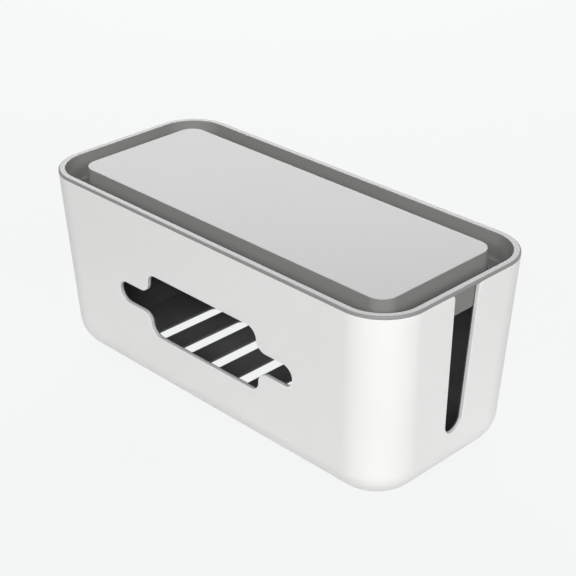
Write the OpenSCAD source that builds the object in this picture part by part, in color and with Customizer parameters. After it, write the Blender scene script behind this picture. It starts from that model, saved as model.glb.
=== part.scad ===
// Desktop cable management box: a tapered shell with a cloud-shaped window and a cable slot in
// each end, a vented liner that drops into it, a lift-off lid with a groove around a raised
// platform, and four feet. Millimetres, +Z up. X runs along the box and the window faces -Y.
// The origin is on the ground, under the middle of the box.

/* [Body] */
// Length of the box over its top edge
body_l = 310; // [270:1:360]
// Width of the box over its top edge
body_w = 138.7; // [125:0.1:165]
// Height of the shell, from its underside to its top edge
body_h = 129.8; // [120:0.1:150]
// How far each side leans in between the top edge and the underside
taper = 6.2; // [3:0.1:8]
// Radius of the four upright corners
corner_r = 30.8; // [27:0.1:36]
// Radius of the rounded edge around the underside
bottom_r = 20.2; // [14:0.1:22]
// Thickness of the shell
shell_wall = 2.8; // [2:0.1:3.5]
// Rounding of the shell's top edge
edge_r = 0.6; // [0.3:0.1:1]

/* [Window] */
// Distance of the window from the middle of the box
window_x = 0.6; // [-4:0.1:4]
// Height of the middle of the window above the shell's underside
window_z = 66; // [62:0.5:70]
// Height of each of the three rows that the cloud is made of
row_h = 15.2; // [13:0.1:16]
// Length of the cloud's middle row
long_row = 159.9; // [134:0.1:170]
// Length of the cloud's upper and lower rows
short_row = 100.3; // [70:0.1:101]

/* [Cable slots] */
// Width of a slot at the top edge of the shell
slot_top_w = 22; // [18:0.5:30]
// Width of a slot at its round lower end
slot_low_w = 15.6; // [10:0.1:17]
// Height of a slot's lower end above the shell's underside
slot_low_z = 30.6; // [24:0.1:45]
// Rounding where a slot meets the top edge
mouth_r = 3; // [1:0.1:5]

/* [Vents] */
// Distance of the row of vents from the middle of the box
vent_x = 1.4; // [-4:0.1:4]
// Width of one vent in the liner's floor
vent_w = 10.1; // [8:0.1:13]
// Distance from one vent to the next
vent_pitch = 27.9; // [24:0.1:34]
// Distance from the end of a vent to the edge of the flat floor
vent_margin = 5; // [4.5:0.5:10]
// How far the shell's vents stand back behind those of the liner
vent_relief = 4.1; // [1:0.1:4.3]

/* [Liner] */
// Thickness of the liner's walls
liner_wall = 1.2; // [1:0.1:1.6]
// Thickness of the liner's floor
liner_floor = 1.8; // [1.6:0.1:3]
// Gap between the liner and the shell
liner_gap = 0.2; // [0.1:0.05:0.4]
// How far the liner's window and slots stand back behind those of the shell
liner_relief = 1; // [0.5:0.1:2]
// Gap between the top of the liner and the lid
liner_drop = 0.8; // [0.5:0.1:2]

/* [Lid] */
// Height of the rim above the shell's top edge
rim_h = 2; // [1.6:0.1:3]
// Rounding of the rim's outer edge
rim_r = 1.1; // [0.6:0.1:1.4]
// Depth of the lid below the shell's top edge
skirt_h = 17.5; // [12:0.1:20]
// Thickness of the skirt, between the shell and the groove
skirt_wall = 1.4; // [1.2:0.1:2]
// Gap between the skirt and the inside of the shell
lid_gap = 0.3; // [0.25:0.05:0.5]
// Rounding of the skirt's lower edge, which guides the lid in
lead_r = 1; // [0.5:0.1:1.5]
// Width of the groove at the top
groove_w = 15.2; // [12:0.1:18]
// Rounding of the groove's two lower corners
groove_r = 2; // [1:0.1:3]
// Rounding of the groove's two upper edges
lip_r = 0.8; // [0.4:0.1:1]
// Thickness of the groove's floor, and of the platform with its walls
lid_wall = 2; // [1.6:0.1:2.5]
// Number of ribs across the underside of the platform
rib_count = 5; // [3:2:9]
// Thickness of a rib
rib_w = 1.4; // [1:0.1:2]
// Depth of a rib below the platform
rib_h = 7; // [4:0.5:9]

/* [Feet] */
// Diameter of a foot
foot_d = 13; // [10:0.5:14]
// Height of the shell's underside above the ground
foot_h = 2; // [1.5:0.1:4]
// Rounding of a foot's lower edge
foot_r = 0.8; // [0.4:0.1:1.2]
// Depth of the pocket that holds a foot
pocket_h = 1; // [0.6:0.1:1.2]
// Gap around a foot in its pocket
foot_gap = 0.2; // [0.1:0.05:0.3]
// Distance from the middle of a foot to the edges of the flat underside
foot_inset = 9; // [8:0.5:10]

/* [Hidden] */
$fn = 48;
// Flats on each upright corner, on the rounded underside and on the rounded top edge
corner_steps = 9;
round_steps = 6;
edge_steps = 2;
// How far a cut runs past the face that it opens
past = 1;
// How far an arc runs past a face that it blends into, so that the two meet in one clean edge
overlap = 0.002;

// Half-sizes of the flat part of the underside
flat_x = body_l/2 - taper - bottom_r;
flat_y = body_w/2 - taper - bottom_r;
// The feet stand near its corners, and the vents fill the floor between them
foot_x = flat_x - foot_inset;
foot_y = flat_y - foot_inset;
vent_l = 2*(flat_y - vent_margin);
vent_room = foot_x - abs(vent_x) - foot_d/2 - foot_gap - vent_w/2 - vent_relief;
vent_count = 1 + floor(2*vent_room/vent_pitch);

// Middle of a slot's round end, and how far each side leans back from the upright to touch it
slot_r = slot_low_w/2;
slot_mid_z = slot_low_z + slot_r;
slot_reach = [slot_top_w/2, body_h - slot_mid_z];
slot_lean = acos(slot_r/norm(slot_reach)) - atan2(slot_reach.y, slot_reach.x);

// Depths of the liner's faces behind the outer face of the shell, and the levels of its floor
// and of its top above the shell's underside
liner_out = shell_wall + liner_gap;
liner_in = liner_out + liner_wall;
liner_low = liner_out + liner_floor;
liner_top = body_h - skirt_h - liner_drop;

// Lid, across its section from the outer face of the rim. The skirt leans in as far as the
// shell's inside does along the diagonal at the corners, which is further than at its sides.
skirt_in = shell_wall + lid_gap;
skirt_lean = sqrt(2)*taper*skirt_h/body_h;
lean_angle = atan2(skirt_lean, skirt_h);
groove_in = skirt_in + skirt_wall;
groove_low = lid_wall - skirt_h;
groove_lean = (rim_h - groove_low)*tan(lean_angle);
platform_in = groove_in + groove_w;

// The lid's section stops short of the axis of the platform's rounded corners, and the plate that
// closes the platform reaches further out than that, so that the two overlap
platform_r = corner_r - platform_in;
section_end = corner_r - 0.5*platform_r;
plate_in = corner_r - 0.6*platform_r;

// ---- outlines and sections ----

function arc(x, y, r, start) = [
    for (i = [0:corner_steps])
        let (a = start + 90*i/corner_steps) [x + r*cos(a), y + r*sin(a)]
];

function rounded_outline(x, y, r) = concat(
    arc(x - r, y - r, r, 0),
    arc(r - x, y - r, r, 90),
    arc(r - x, r - y, r, 180),
    arc(x - r, r - y, r, 270)
);

// Level outline of the tapered body at height z, moved in by inset all round
function section(z, inset) =
    let (lean = taper*(1 - z/body_h) + inset)
    [for (p = rounded_outline(body_l/2 - lean, body_w/2 - lean, corner_r - inset)) [p.x, p.y, z]];

// Sections of the surface that lies depth inside the body's outer face: from the level low,
// through the rounded lower edge, up to the level high
function skin(depth, low, high) =
    let (r = bottom_r - depth, start = asin(min(1, (bottom_r - low)/r)))
    concat(
        [
            for (i = [0:round_steps])
                let (a = start*(1 - i/round_steps))
                section(bottom_r - r*sin(a), bottom_r - r*cos(a))
        ],
        [section(high, depth)]
    );

// Sections of the outer face itself, with its top edge rounded
function outer_skin() = concat(
    skin(0, 0, body_h - edge_r),
    [
        for (i = [1:edge_steps])
            let (a = 90*i/edge_steps)
            section(body_h - edge_r + edge_r*sin(a), edge_r*(1 - cos(a)))
    ]
);

// Solid through a list of sections with equal numbers of points, lowest first
module loft(sections) {
    n = len(sections[0]);
    m = len(sections);
    sides = [
        for (k = [0:m - 2], i = [0:n - 1])
            [k*n + i, (k + 1)*n + i, (k + 1)*n + (i + 1)%n, k*n + (i + 1)%n]
    ];
    lower = [for (i = [0:n - 1]) i];
    upper = [for (i = [n - 1:-1:0]) (m - 1)*n + i];
    polyhedron([for (s = sections) each s], concat([lower], sides, [upper]));
}

// What lies between a corner at the origin and the arc of radius r that rounds it. One side of
// the corner runs along +X, and the other leans back from +Y by the angle lean.
module corner_piece(r, lean = 0) {
    t = r*tan(45 - lean/2);
    difference() {
        polygon([
            [t, r],
            [t, -past],
            [-past, -past],
            [-t*sin(lean) - past*cos(lean), t*cos(lean) - past*sin(lean)]
        ]);
        translate([t, r]) circle(r + overlap);
    }
}

// Bar with half-round ends along X
module stadium(length, height) {
    square([length - height, height], center = true);
    for (x = [-1, 1])
        translate([x*(length - height)/2, 0]) circle(d = height);
}

// Cloud around its middle, moved out by grow all round: three rows, of which the upper and the
// lower one flow into the middle one
module cloud(grow = 0) {
    r = row_h/2;
    stadium(long_row + 2*grow, row_h + 2*grow);
    square([short_row + 2*grow, 2*row_h], center = true);
    square([short_row - row_h, 3*row_h + 2*grow], center = true);
    for (x = [0, 1], y = [0, 1])
        mirror([x, 0]) mirror([0, y]) {
            translate([short_row/2 - r, row_h]) circle(r + grow);
            translate([short_row/2 + grow, r + grow]) corner_piece(r - grow);
        }
}

// Cable slot, open at the top, across Y and above the shell's underside
module slot(grow = 0) {
    r = slot_r + grow;
    touch = [r*cos(slot_lean), slot_mid_z - r*sin(slot_lean)];
    top = [touch.x + (body_h + past - touch.y)*tan(slot_lean), body_h + past];
    translate([0, slot_mid_z]) circle(r + overlap);
    polygon([touch, top, [-top.x, top.y], [-touch.x, touch.y]]);
}

module vents(grow = 0) {
    for (i = [0:vent_count - 1])
        translate([vent_x + (i - (vent_count - 1)/2)*vent_pitch, 0])
            rotate(90) stadium(vent_l + 2*grow, vent_w + 2*grow);
}

// ---- cuts through the shell and the liner ----

module window_cut(grow = 0) {
    depth = taper + liner_in + past;
    translate([window_x, depth - body_w/2, window_z])
        rotate([90, 0, 0]) linear_extrude(depth + past) cloud(grow);
}

// The children's outline across Y, cut through both ends of the box
module end_cuts() {
    depth = taper + liner_in + past;
    for (turn = [0, 180])
        rotate([90, 0, 90 + turn])
            translate([0, 0, body_l/2 - depth]) linear_extrude(depth + past) children();
}

// Right half of the rounding where a slot meets the top edge, mirrored to the left
module mouth() {
    for (side = [0, 1])
        mirror([side, 0]) translate([slot_top_w/2, body_h])
            mirror([0, 1]) corner_piece(mouth_r, slot_lean);
}

module at_feet() {
    for (x = [-1, 1], y = [-1, 1]) translate([x*foot_x, y*foot_y, 0]) children();
}

// ---- parts ----

module outer_shell() {
    color([0.93, 0.94, 0.94])
    translate([0, 0, foot_h])
    difference() {
        loft(outer_skin());
        loft(skin(shell_wall, shell_wall, body_h + past));
        window_cut();
        end_cuts() {
            slot();
            mouth();
        }
        translate([0, 0, -past]) linear_extrude(shell_wall + 2*past) vents(vent_relief);
        at_feet() translate([0, 0, -past])
            cylinder(d = foot_d + 2*foot_gap, h = pocket_h + past);
    }
}

module inner_liner() {
    color([0.20, 0.20, 0.21])
    translate([0, 0, foot_h])
    difference() {
        loft(skin(liner_out, liner_out, liner_top));
        loft(skin(liner_in, liner_low, liner_top + past));
        window_cut(liner_relief);
        end_cuts() slot(liner_relief);
        translate([0, 0, liner_out - past]) linear_extrude(liner_floor + 2*past) vents();
    }
}

// Section of the lid from the outer face of its rim inwards, about the level of the shell's
// top edge
module lid_section() {
    difference() {
        polygon([
            [0, 0],
            [0, rim_h],
            [section_end, rim_h],
            [section_end, -skirt_h],
            [skirt_in + skirt_lean, -skirt_h],
            [skirt_in, 0]
        ]);
        translate([0, rim_h]) mirror([0, 1]) corner_piece(rim_r);
        translate([skirt_in + skirt_lean, -skirt_h]) corner_piece(lead_r, lean_angle);
        groove_section();
        translate([groove_in, rim_h]) rotate(180) corner_piece(lip_r, lean_angle);
        translate([platform_in, rim_h]) mirror([0, 1]) corner_piece(lip_r, lean_angle);
        cavity_section();
    }
}

// Space of the groove, narrowing towards its rounded lower corners
module groove_section() {
    rise = rim_h - groove_low;
    over = past*tan(lean_angle);
    difference() {
        polygon([
            [groove_in - over, rim_h + past],
            [platform_in + over, rim_h + past],
            [platform_in - groove_lean, groove_low],
            [groove_in + groove_lean, groove_low]
        ]);
        translate([groove_in + groove_lean, groove_low]) corner_piece(groove_r, lean_angle);
        translate([platform_in - groove_lean, groove_low])
            mirror([1, 0]) corner_piece(groove_r, lean_angle);
    }
}

// Space under the platform, which is open at the bottom
module cavity_section() {
    top = rim_h - lid_wall;
    bottom = -skirt_h - past;
    inner = platform_in + lid_wall;
    polygon([
        [inner - lid_wall*tan(lean_angle), top],
        [section_end + past, top],
        [section_end + past, bottom],
        [inner - (rim_h - bottom)*tan(lean_angle), bottom]
    ]);
}

// The lid's section, run around the corners and along the sides between them
module lid_frame() {
    side_x = body_l - 2*corner_r;
    side_y = body_w - 2*corner_r;
    for (turn = [0, 180])
        rotate(turn) {
            translate([side_x/2, side_y/2, 0]) lid_corner();
            translate([-side_x/2, side_y/2, 0]) rotate(90) lid_corner();
            translate([side_x/2, 0, 0]) lid_side(side_y);
            translate([0, side_y/2, 0]) rotate(90) lid_side(side_x);
        }
}

module lid_corner() {
    rotate_extrude(angle = 90) translate([corner_r, 0]) mirror([1, 0]) lid_section();
}

module lid_side(length) {
    rotate([90, 0, 0])
        linear_extrude(length, center = true)
            translate([corner_r, 0]) mirror([1, 0]) lid_section();
}

module lid() {
    color([0.82, 0.83, 0.83])
    translate([0, 0, foot_h + body_h]) {
        lid_frame();
        translate([0, 0, rim_h - lid_wall/2])
            cube([body_l - 2*plate_in, body_w - 2*plate_in, lid_wall], center = true);
        lid_ribs();
    }
}

// Ribs across the underside of the platform, from the middle of its plate down, and from the
// middle of one of its walls to the other
module lid_ribs() {
    reach = platform_in + lid_wall/2;
    pitch = (body_l - 2*reach)/(rib_count + 1);
    height = lid_wall/2 + rib_h;
    for (i = [1:rib_count])
        translate([i*pitch + reach - body_l/2, 0, rim_h - lid_wall/2 - height/2])
            cube([rib_w, body_w - 2*reach, height], center = true);
}

// One foot, in the pocket at the sides x and y of the underside
module foot(x, y) {
    color([0.30, 0.30, 0.31])
    translate([x*foot_x, y*foot_y, 0])
    rotate_extrude()
        difference() {
            square([foot_d/2, foot_h + pocket_h]);
            translate([foot_d/2, 0]) mirror([1, 0]) corner_piece(foot_r);
        }
}

outer_shell();
inner_liner();
lid();
foot(-1, -1);  // foot_front_left
foot(1, -1);  // foot_front_right
foot(-1, 1);  // foot_back_left
foot(1, 1);  // foot_back_right
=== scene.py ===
"""Looks of the cable management box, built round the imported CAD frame.

The three mouldings are rebuilt here with softened edges, from the same sizes as the CAD model, and
replace its nodes. The feet are the CAD's own. Sizes of the box are in millimetres, and heights are
above the shell's underside, until a vertex is made. The stage, lamps and camera are in metres.
"""

import math

import bmesh
import bpy
from mathutils import Matrix, Vector


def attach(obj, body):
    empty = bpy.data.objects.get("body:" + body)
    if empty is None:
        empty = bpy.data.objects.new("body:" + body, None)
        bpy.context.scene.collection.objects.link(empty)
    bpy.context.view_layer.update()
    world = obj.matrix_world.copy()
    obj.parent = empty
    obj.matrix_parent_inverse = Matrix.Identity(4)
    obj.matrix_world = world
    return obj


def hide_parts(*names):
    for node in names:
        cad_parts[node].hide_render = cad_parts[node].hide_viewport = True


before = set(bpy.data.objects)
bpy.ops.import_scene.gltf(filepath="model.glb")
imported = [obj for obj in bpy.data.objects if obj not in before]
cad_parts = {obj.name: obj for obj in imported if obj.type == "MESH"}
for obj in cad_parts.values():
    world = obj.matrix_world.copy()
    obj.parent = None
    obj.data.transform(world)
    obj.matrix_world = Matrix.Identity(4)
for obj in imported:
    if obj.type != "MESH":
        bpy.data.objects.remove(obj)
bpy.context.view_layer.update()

MM = 0.001

# Body
BODY_L, BODY_W, BODY_H = 310, 138.7, 129.8
TAPER, CORNER_R, BOTTOM_R = 6.2, 30.8, 20.2
SHELL_WALL, SHELL_LIP_R = 2.8, 0.4
FLAT_X = BODY_L / 2 - TAPER - BOTTOM_R
FLAT_Y = BODY_W / 2 - TAPER - BOTTOM_R

# Feet and the pockets that hold them
FOOT_H, FOOT_D, FOOT_GAP, FOOT_INSET, POCKET_H = 2, 13, 0.2, 9, 1

# Window: three rows of slots with round ends, the middle one longer
WINDOW_X, WINDOW_Z = 0.6, 66
ROW_R, LONG_ROW, SHORT_ROW = 7.6, 159.9, 100.3

# Vents through both floors, wider in the shell by a relief
VENT_X, VENT_W, VENT_PITCH, VENT_COUNT = 1.4, 10.1, 27.9, 8
VENT_MARGIN, VENT_RELIEF, VENT_LIP_R = 5, 4.1, 0.3

# Cable slots: half their width at the rim, then the radius and height of their round end
SLOT_TOP, SLOT_R, SLOT_Z, MOUTH_R = 11, 7.8, 38.4, 3
SLOT_LEAN = math.acos(SLOT_R / math.hypot(SLOT_TOP, BODY_H - SLOT_Z)) - math.atan2(
    BODY_H - SLOT_Z, SLOT_TOP
)

# Liner: depth of its outer face behind the body's, wall, and heights of its floor and its top
LINER_OUT, LINER_WALL, LINER_LOW, LINER_TOP = 3, 1.2, 4.8, 111.5
LINER_RELIEF, LINER_MOUTH_R, LINER_LIP_R = 1, 1, 0.3

# Lid. What ends in IN is a distance inwards from the outer face of its rim
LID_WALL, LIP_R = 2, 0.4
RIM_H, RIM_R, RIM_FOOT_R = 2, 1.2, 0.15
SKIRT_IN, SKIRT_H, SKIRT_ROOT_R, LEAD_R = 3.1, 17.5, 0.3, 1
SKIRT_LEAN = math.sqrt(2) * TAPER * SKIRT_H / BODY_H
SLANT = SKIRT_LEAN / SKIRT_H
GROOVE_IN, GROOVE_W, GROOVE_R = 4.5, 15.2, 2
PLATFORM_IN, PLATE_IN = GROOVE_IN + GROOVE_W, 23
HOLLOW_R = 0.5
RIB_COUNT, RIB_W, RIB_H, RIB_EDGE = 5, 1.4, 7, 0.3

# Steps in each rounded form, and the angle from which an edge is shaded sharp
CORNER_STEPS, FILLET_STEPS, LIP_STEPS, ROUND_STEPS, SECTION_STEPS = 24, 14, 4, 12, 6
SHARP_FROM = math.radians(40)


# ---- outlines ----


def steps(first, last, count):
    """Even steps from first to last, both included."""
    return [first + (last - first) * i / count for i in range(count + 1)]


def pairs(items):
    """Each item with the next one."""
    return zip(items, items[1:])


def flat(loops):
    return [point for loop in loops for point in loop]


def arc(x, y, r, start, end, count):
    """Points of an arc round (x, y) between two angles in degrees."""
    turns = [math.radians(a) for a in steps(start, end, count)]
    return [(x + r * math.cos(a), y + r * math.sin(a)) for a in turns]


def corner_arcs(half_x, half_y, r):
    """The four corners of a rounded rectangle, anticlockwise from the one at +X +Y."""
    quarters = ((1, 1, 0), (-1, 1, 90), (-1, -1, 180), (1, -1, 270))
    return [
        arc(x * (half_x - r), y * (half_y - r), r, turn, turn + 90, CORNER_STEPS)
        for x, y, turn in quarters
    ]


def rounded(corners, count):
    """A line through corners (x, y, radius), each rounded by an arc where it has a radius."""
    line = []
    for i, (x, y, r) in enumerate(corners):
        corner = Vector((x, y))
        if not r:
            line.append((x, y))
            continue
        back = (Vector(corners[i - 1][:2]) - corner).normalized()
        ahead = (Vector(corners[i + 1][:2]) - corner).normalized()
        half = back.angle(ahead) / 2
        middle = corner + (back + ahead).normalized() * r / math.sin(half)
        first = corner + back * r / math.tan(half) - middle
        last = corner + ahead * r / math.tan(half) - middle
        turn = first.angle_signed(last)
        line += [
            tuple(middle + Matrix.Rotation(-turn * t, 2) @ first)
            for t in steps(0, 1, count)
        ]
    return line


def lips(low, high, r):
    """(grow, depth) pairs across an edge that is rounded by r where it meets both faces."""
    turns = [math.radians(a) for a in steps(0, 90, LIP_STEPS)]
    half = [(r - r * math.sin(a), r - r * math.cos(a)) for a in turns]
    return [(g, low + d) for g, d in half] + [(g, high - d) for g, d in reversed(half)]


def lean(z):
    """How far the body's sides lean in at height z."""
    return TAPER * (1 - z / BODY_H)


def body_arcs(z, inset):
    """The body's four corners at height z, at a distance behind its outer face."""
    half_x, half_y = (size / 2 - lean(z) - inset for size in (BODY_L, BODY_W))
    arcs = corner_arcs(half_x, half_y, CORNER_R - inset)
    return [[(x, y, z) for x, y in points] for points in arcs]


def window(grow, depth):
    """The cloud, moved out by grow, in the front wall at a depth behind its outer face."""
    r = ROW_R
    quarter = (
        arc(LONG_ROW / 2 - r, 0, r + grow, 0, 90, ROUND_STEPS)
        + arc(SHORT_ROW / 2 + r, 2 * r, r - grow, 270, 180, ROUND_STEPS)[:-1]
        + arc(SHORT_ROW / 2 - r, 2 * r, r + grow, 0, 90, ROUND_STEPS)
    )
    half = quarter + [(-x, y) for x, y in reversed(quarter)]
    cloud = half + [(-x, -y) for x, y in half[1:-1]]
    return [
        (WINDOW_X + x, lean(WINDOW_Z + y) + depth - BODY_W / 2, WINDOW_Z + y)
        for x, y in cloud
    ]


def slot(side, top, relief, mouth, grow, depth):
    """The edge of the slot in one end wall, from its mouth down, round its end and up again."""
    r = SLOT_R + relief
    mouth_z = top - mouth
    mouth_x = (r + mouth + (mouth_z - SLOT_Z) * math.sin(SLOT_LEAN)) / math.cos(SLOT_LEAN)
    slant = math.degrees(SLOT_LEAN)
    half = arc(mouth_x, mouth_z, mouth - grow, 90, 180 - slant, ROUND_STEPS) + arc(
        0, SLOT_Z, r + grow, -slant, -90, ROUND_STEPS
    )
    path = [(-x, z) for x, z in half[:-1]] + half[::-1]
    return [
        (side * (BODY_L / 2 - lean(z) - depth), side * x, z) for x, z in path
    ]


def stadium(x, half_l, r, z):
    """The edge of a vent that lies across the box."""
    ends = arc(0, half_l - r, r, 0, 180, ROUND_STEPS)
    return [(x + u, v, z) for u, v in ends + [(-u, -v) for u, v in ends]]


# ---- meshes ----


class Moulding:
    """A mesh made of loops of vertices, bridges between them and flat fills."""

    def __init__(self, name):
        self.name = name
        self.bm = bmesh.new()

    def loop(self, points):
        return [
            self.bm.verts.new((x * MM, y * MM, (z + FOOT_H) * MM)) for x, y, z in points
        ]

    def bridge(self, a, b, closed=True, painted_shade_index=0):
        """Faces between two loops, in one of the materials that done() is given. The second
        material, picked by its index, is a darker colour that paints shade.
        """
        for i in range(0 if closed else 1, len(a)):
            face = self.bm.faces.new((a[i - 1], a[i], b[i], b[i - 1]))
            face.material_index = painted_shade_index

    def fill(self, *loops):
        """A flat face inside the first loop, with the other loops as its holes."""
        edges = [
            self.bm.edges.get((a[i - 1], a[i])) or self.bm.edges.new((a[i - 1], a[i]))
            for a in loops
            for i in range(len(a))
        ]
        bmesh.ops.triangle_fill(self.bm, edges=edges, use_beauty=True)

    def block(self, low, high, edge):
        """A bar between two corners, with its edges softened."""
        size = [(b - a) * MM for a, b in zip(low, high)]
        middle = Vector((a + b) / 2 * MM for a, b in zip(low, high))
        middle.z += FOOT_H * MM
        made = bmesh.ops.create_cube(
            self.bm, matrix=Matrix.LocRotScale(middle, None, Vector(size))
        )
        edges = {e for v in made["verts"] for e in v.link_edges}
        bmesh.ops.bevel(
            self.bm, geom=list(edges), offset=edge * MM, segments=2, affect="EDGES"
        )

    def done(self, materials, body, slot_name, node):
        """Makes the piece that stands for a CAD node and moves with a body."""
        bmesh.ops.recalc_face_normals(self.bm, faces=self.bm.faces)
        mesh = bpy.data.meshes.new(self.name)
        self.bm.to_mesh(mesh)
        self.bm.free()
        mesh.shade_smooth()
        mesh.set_sharp_from_angle(angle=SHARP_FROM)
        for material in materials:
            mesh.materials.append(material)
        piece = bpy.data.objects.new(self.name, mesh)
        bpy.context.scene.collection.objects.link(piece)
        even = piece.modifiers.new("even_normals", "WEIGHTED_NORMAL")
        even.keep_sharp = True
        even.weight = 100
        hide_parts(node)
        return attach(piece, body)


def tray(name, depth, wall, floor, top, relief, mouth, lip, vent_grow, is_shell):
    """An open tray in the body's form, its outer face at a depth behind that of the body.

    floor and top are the heights of its floor and its upper edge. Its window and slots are wider
    than the shell's by relief, its slots' mouths are rounded by mouth, its edges by lip, and its
    vents are wider by vent_grow. The shell has pockets for the feet, and the cut face of its
    window takes a darker grey, a painted shade for the shadow on that ledge.
    """
    moulding = Moulding(name)
    edge = lips(depth, depth + wall, lip)

    rims = []
    for grow, d in edge:
        arcs = [moulding.loop(points) for points in body_arcs(top - grow, d)]
        ends = [moulding.loop(slot(side, top, relief, mouth, grow, d)) for side in (1, -1)]
        rims.append((arcs, ends))
    for a, b in pairs([flat([e[0], q[0], q[1], e[1], q[2], q[3]]) for q, e in rims]):
        moulding.bridge(a, b)

    windows = [moulding.loop(window(relief + grow, d)) for grow, d in edge]
    for i, (a, b) in enumerate(pairs(windows)):
        # The window's cut face takes the second material, a darker grey that paints the shade on
        # that ledge.
        moulding.bridge(a, b, painted_shade_index=int(is_shell and i == LIP_STEPS))

    vents = []
    half_l, half_w = FLAT_Y - VENT_MARGIN + vent_grow, VENT_W / 2 + vent_grow
    for i in range(VENT_COUNT):
        x = VENT_X + (i - (VENT_COUNT - 1) / 2) * VENT_PITCH
        vent = [
            moulding.loop(stadium(x, half_l + g, half_w + g, z))
            for g, z in lips(depth, floor, VENT_LIP_R)
        ]
        for a, b in pairs(vent):
            moulding.bridge(a, b)
        vents.append(vent)

    # The outer skin, then the inner one. Each has a rounding, four corners, four walls and a floor
    for side, d, low in ((0, depth, depth), (-1, depth + wall, floor)):
        r = BOTTOM_R - d
        last = math.asin(min(1, (BOTTOM_R - low) / r))
        rings = []
        for a in steps(0, last, FILLET_STEPS):
            arcs = body_arcs(BOTTOM_R - r * math.sin(a), BOTTOM_R - r * math.cos(a))
            rings.append([moulding.loop(points) for points in arcs])
        for a, b in pairs(rings):
            moulding.bridge(flat(a), flat(b))

        ring = rings[0]
        arcs, ends = rims[side]
        for a, b in zip(ring, arcs):
            moulding.bridge(a, b, closed=False)
        for a, b, end in ((3, 0, ends[0]), (1, 2, ends[1])):
            moulding.fill([ring[b][0], ring[a][-1], arcs[a][-1], *end, arcs[b][0]])
        moulding.fill([ring[1][0], ring[0][-1], arcs[0][-1], arcs[1][0]])
        moulding.fill([ring[3][0], ring[2][-1], arcs[2][-1], arcs[3][0]], windows[side])

        holes = [vent[side] for vent in vents]
        if side == 0 and is_shell:
            holes += [pocket(moulding, x, y) for x in (-1, 1) for y in (-1, 1)]
        moulding.fill(flat(rings[-1]), *holes)
    return moulding


def pocket(moulding, x, y):
    """The pocket that holds a foot. Gives back its edge in the underside."""
    middle = (x * (FLAT_X - FOOT_INSET), y * (FLAT_Y - FOOT_INSET))
    around = arc(*middle, FOOT_D / 2 + FOOT_GAP, 0, 360, 4 * ROUND_STEPS)[:-1]
    low, high = (moulding.loop([(u, v, z) for u, v in around]) for z in (0, POCKET_H))
    moulding.bridge(low, high)
    moulding.fill(high)
    return low


def make_lid():
    """The lid: one section swept round a rounded rectangle, with ribs across its hollow. Its
    skirt takes a darker grey, a painted shade for the shadow under the rim."""
    lid = Moulding("lid_moulding")
    plate_low = RIM_H - LID_WALL
    groove_low = LID_WALL - SKIRT_H
    in_groove = (RIM_H - groove_low) * SLANT

    def hollow_in(z):
        return PLATFORM_IN + LID_WALL - (RIM_H - z) * SLANT

    section = rounded(
        [
            (PLATE_IN, RIM_H, 0),
            (PLATFORM_IN, RIM_H, LIP_R),
            (PLATFORM_IN - in_groove, groove_low, GROOVE_R),
            (GROOVE_IN + in_groove, groove_low, GROOVE_R),
            (GROOVE_IN, RIM_H, LIP_R),
            (0, RIM_H, RIM_R),
            (0, 0, RIM_FOOT_R),
            (SKIRT_IN, 0, SKIRT_ROOT_R),
            (SKIRT_IN + SKIRT_LEAN, -SKIRT_H, LEAD_R),
            (hollow_in(-SKIRT_H), -SKIRT_H, HOLLOW_R),
            (hollow_in(plate_low), plate_low, HOLLOW_R),
            (PLATE_IN, plate_low, 0),
        ],
        SECTION_STEPS,
    )
    rings = []
    for inset, z in section:
        arcs = corner_arcs(BODY_L / 2 - inset, BODY_W / 2 - inset, CORNER_R - inset)
        rings.append(lid.loop([(x, y, BODY_H + z) for x, y in flat(arcs)]))
    for (a, b), (inset, z) in zip(pairs(rings), section[1:]):
        # The skirt below the rim takes the second material, a darker grey that paints the shade
        # under the rim.
        lid.bridge(a, b, painted_shade_index=int(inset < GROOVE_IN and z < 0))
    lid.bm.faces.new(rings[0])
    lid.bm.faces.new(rings[-1])

    reach = PLATFORM_IN + LID_WALL / 2
    pitch = (BODY_L - 2 * reach) / (RIB_COUNT + 1)
    y = BODY_W / 2 - reach
    top = BODY_H + RIM_H - LID_WALL / 2
    low = top - LID_WALL / 2 - RIB_H
    for i in range(RIB_COUNT):
        x = (i + 1) * pitch + reach - BODY_L / 2
        lid.block((x - RIB_W / 2, -y, low), (x + RIB_W / 2, y, top), RIB_EDGE)
    return lid


# ---- materials ----

# Size of the drift of shade in millimetres, the part of a noise's range that is used, and how far
# the roughness goes either way
DRIFT = 90
NOISE_LOW, NOISE_HIGH = 0.3, 0.7
ROUGHNESS_SPREAD = 0.03


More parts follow.
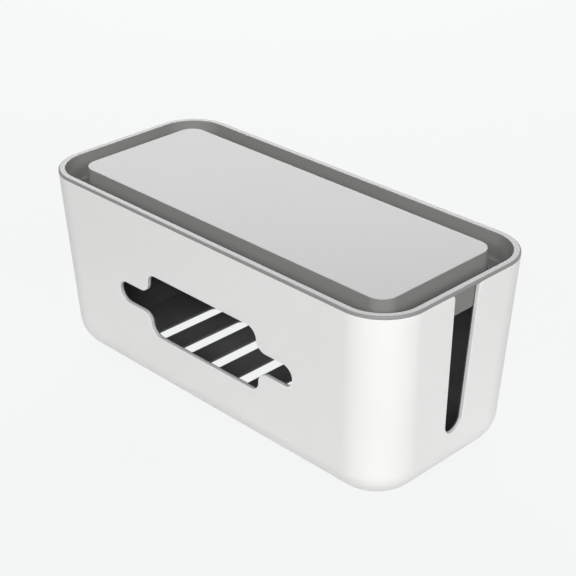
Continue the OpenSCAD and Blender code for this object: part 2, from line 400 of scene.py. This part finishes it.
def plastic(name, colour, roughness, grain, bump, shade=0.012, specular=0.5):
    """Moulded plastic: a faint drift of shade, a fine grain in its gloss, and the same grain as
    relief. grain is the size of the grain and bump its depth, in millimetres."""
    material = bpy.data.materials.new(name)
    material.use_nodes = True
    tree = material.node_tree
    shader = tree.nodes["Principled BSDF"]
    shader.inputs["Specular IOR Level"].default_value = specular
    place = tree.nodes.new("ShaderNodeTexCoord")

    def noise(size, detail):
        made = tree.nodes.new("ShaderNodeTexNoise")
        made.inputs["Scale"].default_value = 1 / (size * MM)
        made.inputs["Detail"].default_value = detail
        tree.links.new(place.outputs["Object"], made.inputs["Vector"])
        return made

    def spread(source, low, high):
        made = tree.nodes.new("ShaderNodeMapRange")
        made.inputs["From Min"].default_value = NOISE_LOW
        made.inputs["From Max"].default_value = NOISE_HIGH
        made.inputs["To Min"].default_value = low
        made.inputs["To Max"].default_value = high
        tree.links.new(source.outputs["Fac"], made.inputs["Value"])
        return made.outputs["Result"]

    mix = tree.nodes.new("ShaderNodeMix")
    mix.data_type = "RGBA"
    mix.inputs["A"].default_value = (*[c * (1 - shade) for c in colour], 1)
    mix.inputs["B"].default_value = (*[min(1, c * (1 + shade)) for c in colour], 1)
    tree.links.new(spread(noise(DRIFT, 2), 0, 1), mix.inputs["Factor"])
    tree.links.new(mix.outputs["Result"], shader.inputs["Base Color"])

    fine = noise(grain, 3)
    rough = spread(fine, roughness - ROUGHNESS_SPREAD, roughness + ROUGHNESS_SPREAD)
    tree.links.new(rough, shader.inputs["Roughness"])
    relief = tree.nodes.new("ShaderNodeBump")
    relief.inputs["Distance"].default_value = bump * MM
    relief.inputs["Strength"].default_value = 1
    tree.links.new(fine.outputs["Fac"], relief.inputs["Height"])
    tree.links.new(relief.outputs["Normal"], shader.inputs["Normal"])
    return material


SHELL = plastic(
    "shell_plastic", (0.87, 0.87, 0.86), roughness=0.42, grain=0.9, bump=0.006
)
# A darker grey for the window's cut face: painted shade, not a colour of the plastic.
SHELL_EDGE_PAINTED_SHADE = plastic(
    "shell_edge_painted_shade", (0.64, 0.64, 0.63), roughness=0.5, grain=0.9, bump=0.006
)
LID = plastic(
    "lid_plastic", (0.27, 0.27, 0.265), roughness=0.36, grain=0.7, bump=0.006, specular=0.3
)
# A darker grey for the lid's skirt: painted shade under the rim. Its roughness and grain are the
# plastic's own.
LID_SKIRT_PAINTED_SHADE = plastic(
    "lid_skirt_painted_shade",
    (0.225, 0.225, 0.22),
    roughness=0.5,
    grain=0.7,
    bump=0.015,
    specular=0.2,
)
LINER = plastic(
    "liner_plastic", (0.16, 0.16, 0.162), roughness=0.5, grain=0.5, bump=0.02, shade=0.08
)
RUBBER = plastic(
    "foot_rubber",
    (0.07, 0.07, 0.07),
    roughness=0.8,
    grain=0.6,
    bump=0.02,
    shade=0.08,
    specular=0.3,
)


# ---- pieces ----

tray(
    "shell_moulding",
    depth=0,
    wall=SHELL_WALL,
    floor=SHELL_WALL,
    top=BODY_H,
    relief=0,
    mouth=MOUTH_R,
    lip=SHELL_LIP_R,
    vent_grow=VENT_RELIEF,
    is_shell=True,
).done([SHELL, SHELL_EDGE_PAINTED_SHADE], "base", "shell", "outer_shell")
tray(
    "liner_moulding",
    depth=LINER_OUT,
    wall=LINER_WALL,
    floor=LINER_LOW,
    top=LINER_TOP,
    relief=LINER_RELIEF,
    mouth=LINER_MOUTH_R,
    lip=LINER_LIP_R,
    vent_grow=0,
    is_shell=False,
).done([LINER], "base", "liner", "inner_liner")
make_lid().done([LID, LID_SKIRT_PAINTED_SHADE], "lid", "lid", "lid")

for name in ("front_left", "front_right", "back_left", "back_right"):
    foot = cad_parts["foot_" + name]
    foot.data.materials.clear()
    foot.data.materials.append(RUBBER)


# ---- stage, lamps and camera ----

# What the camera sees of the floor and the world, and how much of the floor's colour glows
PAPER = (0.913, 0.930, 0.922, 1)
FLOOR_GLOW = 0.94
WORLD_LEVEL = 0.1

# The floor reaches this far from the box's middle, and its lighter sheet this far past the box
FLOOR_HALF, SHEET_MARGIN = 4, 0.07
SHEET_BOUNCE, FLOOR_BOUNCE = 0.71, 0.54

# Name, azimuth, elevation, distance, width, height and power of each lamp
LAMPS = (
    ("key", 45, 32, 3, 0.94, 0.94, 42),
    ("left", 10, 30, 3, 0.94, 0.94, 20.5),
    ("right", 80, 30, 3, 0.94, 0.94, 26),
    ("back", 225, 34, 1.5, 1.15, 0.8, 17.1),
)

CAMERA_PLACE = (0.5926, -0.5755, 0.5161)
CAMERA_YAW, CAMERA_PITCH, CAMERA_ROLL = 45.329, 28.187, -0.119
CAMERA_LENS, CAMERA_SENSOR = 90.14, 36


def camera_only(tree, seen, unseen):
    """Joins two shaders so that the camera, mirrors and glass see one, and the rest the other."""
    path = tree.nodes.new("ShaderNodeLightPath")
    either = path.outputs["Is Camera Ray"]
    for ray in ("Is Glossy Ray", "Is Transmission Ray"):
        most = tree.nodes.new("ShaderNodeMath")
        most.operation = "MAXIMUM"
        tree.links.new(either, most.inputs[0])
        tree.links.new(path.outputs[ray], most.inputs[1])
        either = most.outputs[0]
    mix = tree.nodes.new("ShaderNodeMixShader")
    tree.links.new(either, mix.inputs["Fac"])
    tree.links.new(unseen.outputs[0], mix.inputs[1])
    tree.links.new(seen.outputs[0], mix.inputs[2])
    return mix


def make_paper(name, bounce):
    """A pale surface. Most of what the camera sees of it glows, and the rest takes the shadow.
    The light that it sends back to the box is that of a plain grey surface."""
    material = bpy.data.materials.new(name)
    material.use_nodes = True
    tree = material.node_tree
    tree.nodes.clear()
    plain = tree.nodes.new("ShaderNodeBsdfDiffuse")
    plain.inputs["Color"].default_value = PAPER
    light = tree.nodes.new("ShaderNodeEmission")
    light.inputs["Color"].default_value = PAPER
    seen = tree.nodes.new("ShaderNodeMixShader")
    seen.inputs["Fac"].default_value = FLOOR_GLOW
    tree.links.new(plain.outputs[0], seen.inputs[1])
    tree.links.new(light.outputs[0], seen.inputs[2])
    unseen = tree.nodes.new("ShaderNodeBsdfDiffuse")
    unseen.inputs["Color"].default_value = (bounce, bounce, bounce, 1)
    out = tree.nodes.new("ShaderNodeOutputMaterial")
    tree.links.new(camera_only(tree, seen, unseen).outputs[0], out.inputs["Surface"])
    return material


def make_floor():
    """Three by three faces. The middle one is a lighter sheet round the foot of the box, and the
    rest sends back less light."""
    sheet_x, sheet_y = (size / 2 * MM + SHEET_MARGIN for size in (BODY_L, BODY_W))
    xs = (-FLOOR_HALF, -sheet_x, sheet_x, FLOOR_HALF)
    ys = (-FLOOR_HALF, -sheet_y, sheet_y, FLOOR_HALF)
    firsts = [4 * row + column for row in range(3) for column in range(3)]
    mesh = bpy.data.meshes.new("floor")
    mesh.from_pydata(
        [(x, y, 0) for y in ys for x in xs], [], [(i, i + 1, i + 5, i + 4) for i in firsts]
    )
    mesh.materials.append(make_paper("floor_sheet", SHEET_BOUNCE))
    mesh.materials.append(make_paper("floor_around", FLOOR_BOUNCE))
    for i, face in enumerate(mesh.polygons):
        face.material_index = int(i != 4)
    floor = bpy.data.objects.new("floor", mesh)
    bpy.context.scene.collection.objects.link(floor)


def make_world():
    """A faint even light, behind the pale background that the camera sees."""
    world = bpy.data.worlds.new("studio")
    bpy.context.scene.world = world
    world.use_nodes = True
    tree = world.node_tree
    tree.nodes.clear()
    seen, unseen = (tree.nodes.new("ShaderNodeBackground") for _ in range(2))
    seen.inputs["Color"].default_value = PAPER
    unseen.inputs["Color"].default_value = (1, 1, 1, 1)
    unseen.inputs["Strength"].default_value = WORLD_LEVEL
    out = tree.nodes.new("ShaderNodeOutputWorld")
    tree.links.new(camera_only(tree, seen, unseen).outputs[0], out.inputs["Surface"])


def softbox(name, azimuth, elevation, distance, width, height, power):
    """A lamp that faces the box. Azimuth 0 stands at -Y, and 90 at +X."""
    lamp = bpy.data.lights.new(name, "AREA")
    lamp.shape = "RECTANGLE"
    lamp.size = width
    lamp.size_y = height
    lamp.energy = power
    turn, rise = math.radians(azimuth), math.radians(elevation)
    away = Vector(
        (math.sin(turn) * math.cos(rise), -math.cos(turn) * math.cos(rise), math.sin(rise))
    )
    box = bpy.data.objects.new(name, lamp)
    box.location = away * distance + Vector((0, 0, BODY_H / 2 * MM))
    box.rotation_euler = away.to_track_quat("Z", "Y").to_euler()
    bpy.context.scene.collection.objects.link(box)


def make_camera():
    yaw, pitch, roll = (
        math.radians(angle) for angle in (CAMERA_YAW, CAMERA_PITCH, CAMERA_ROLL)
    )
    ahead = Vector(
        (-math.sin(yaw) * math.cos(pitch), math.cos(yaw) * math.cos(pitch), -math.sin(pitch))
    )
    level = ahead.cross(Vector((0, 0, 1))).normalized()
    up = level.cross(ahead)
    right = level * math.cos(roll) + up * math.sin(roll)
    up = up * math.cos(roll) - level * math.sin(roll)
    camera = bpy.data.cameras.new("camera")
    camera.lens = CAMERA_LENS
    camera.sensor_width = CAMERA_SENSOR
    stand = bpy.data.objects.new("camera", camera)
    turn = Matrix((right, up, -ahead)).transposed().to_4x4()
    stand.matrix_world = Matrix.Translation(CAMERA_PLACE) @ turn
    bpy.context.scene.collection.objects.link(stand)
    bpy.context.scene.camera = stand


make_floor()
make_world()
for lamp in LAMPS:
    softbox(*lamp)
make_camera()
bpy.context.scene.view_settings.view_transform = "Standard"
